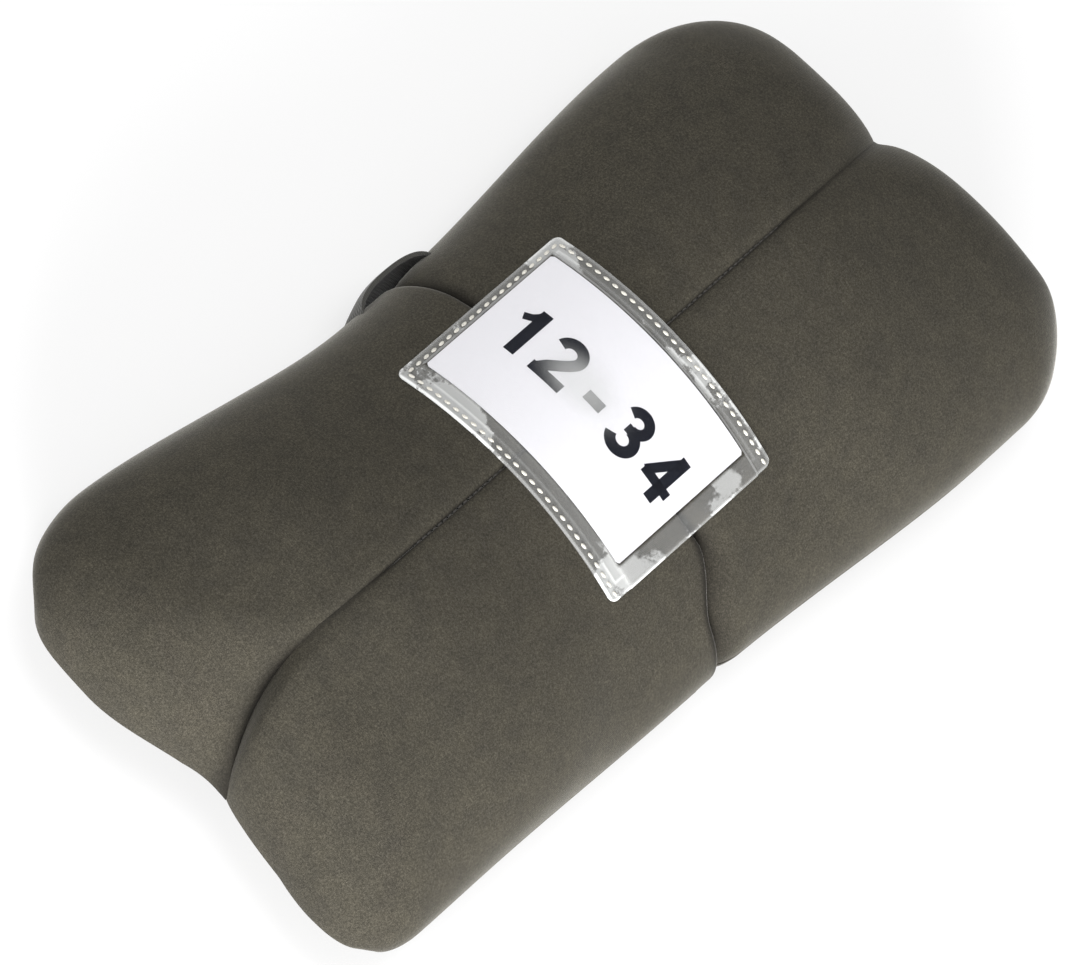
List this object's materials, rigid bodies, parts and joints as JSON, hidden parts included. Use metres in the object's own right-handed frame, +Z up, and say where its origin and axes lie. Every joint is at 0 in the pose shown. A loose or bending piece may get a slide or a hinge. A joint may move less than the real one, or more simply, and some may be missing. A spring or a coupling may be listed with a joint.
{
  "type": "camera wrap",
  "caption": "Padded square camera wrap folded into a quilted soft bundle, with a clear card pocket on top and a hook-and-loop strap beneath.",
  "frame": {"origin": "On the surface that the folded wrap lies on, below the middle of the bundle", "axes": "+Z up out of the pocket side, +Y along the bundle towards its far end, +X across it towards the pocket's open side"},
  "size_m": [0.2038, 0.39, 0.0772],
  "materials": {
    "cover_knit": "brushed olive-brown knit",
    "foam": "soft open-cell foam",
    "lining_knit": "smooth dark knit lining",
    "clear_vinyl": "clear soft vinyl",
    "card_stock": "white card with dark figures",
    "webbing": "dark woven webbing",
    "hook_tape": "dark hook tape"
  },
  "bodies": {
    "top_panel": {"cover_top_left_near": "cover_knit", "cover_top_left_far": "cover_knit", "cover_top_right_near": "cover_knit", "cover_top_right_far": "cover_knit", "foam_top_left_near": "foam", "foam_top_left_far": "foam", "foam_top_right_near": "foam", "foam_top_right_far": "foam", "lining_top": "lining_knit", "pocket_window": "clear_vinyl", "fold_upper_left_near": "cover_knit", "fold_upper_left_far": "cover_knit", "fold_upper_right_near": "cover_knit", "fold_upper_right_far": "cover_knit"},
    "left_side": {"cover_side_left_near": "cover_knit", "cover_side_left_far": "cover_knit", "foam_side_left_near": "foam", "foam_side_left_far": "foam", "lining_side_left": "lining_knit", "strap_side": "webbing"},
    "left_flap": {"cover_flap_left_near": "cover_knit", "cover_flap_left_far": "cover_knit", "foam_flap_left_near": "foam", "foam_flap_left_far": "foam", "lining_flap_left": "lining_knit", "fold_lower_left_near": "cover_knit", "fold_lower_left_far": "cover_knit", "strap_turn": "webbing", "strap_flap": "webbing"},
    "right_side": {"cover_side_right_near": "cover_knit", "cover_side_right_far": "cover_knit", "foam_side_right_near": "foam", "foam_side_right_far": "foam", "lining_side_right": "lining_knit"},
    "right_flap": {"cover_flap_right_near": "cover_knit", "cover_flap_right_far": "cover_knit", "foam_flap_right_near": "foam", "foam_flap_right_far": "foam", "lining_flap_right": "lining_knit", "fold_lower_right_near": "cover_knit", "fold_lower_right_far": "cover_knit"},
    "card": {"id_card": "card_stock"},
    "strap_tongue": {"strap_end": "webbing", "hook_patch": "hook_tape"}
  },
  "joints": [
    {"name": "left_side_fold", "type": "hinge", "parent": "top_panel", "child": "left_side", "pos_m": [-0.074, 0, 0.032], "axis": [0, 1, 0], "range_deg": [0, 90], "deforming": ["fold_upper_left_near", "fold_upper_left_far"]},
    {"name": "left_flap_fold", "type": "hinge", "parent": "left_side", "child": "left_flap", "pos_m": [-0.074, 0, 0.012], "axis": [0, 1, 0], "range_deg": [0, 90], "deforming": ["fold_lower_left_near", "fold_lower_left_far", "strap_turn"]},
    {"name": "right_side_fold", "type": "hinge", "parent": "top_panel", "child": "right_side", "pos_m": [0.074, 0, 0.032], "axis": [0, -1, 0], "range_deg": [0, 90], "deforming": ["fold_upper_right_near", "fold_upper_right_far"]},
    {"name": "right_flap_fold", "type": "hinge", "parent": "right_side", "child": "right_flap", "pos_m": [0.074, 0, 0.012], "axis": [0, -1, 0], "range_deg": [0, 90], "deforming": ["fold_lower_right_near", "fold_lower_right_far"]},
    {"name": "card_pull", "type": "hinge", "parent": "top_panel", "child": "card", "pos_m": [0, 0, -0.0545], "axis": [0, 1, 0], "range_deg": [0, 12]},
    {"name": "strap_peel", "type": "hinge", "parent": "left_flap", "child": "strap_tongue", "pos_m": [0.006, 0, 0.0009], "axis": [0, 1, 0], "range_deg": [0, 150], "deforming": ["strap_end", "hook_patch"]}
  ],
  "couplings": [
    {"joint": "left_flap_fold", "follows": "left_side_fold", "ratio": 1},
    {"joint": "right_flap_fold", "follows": "right_side_fold", "ratio": 1}
  ]
}
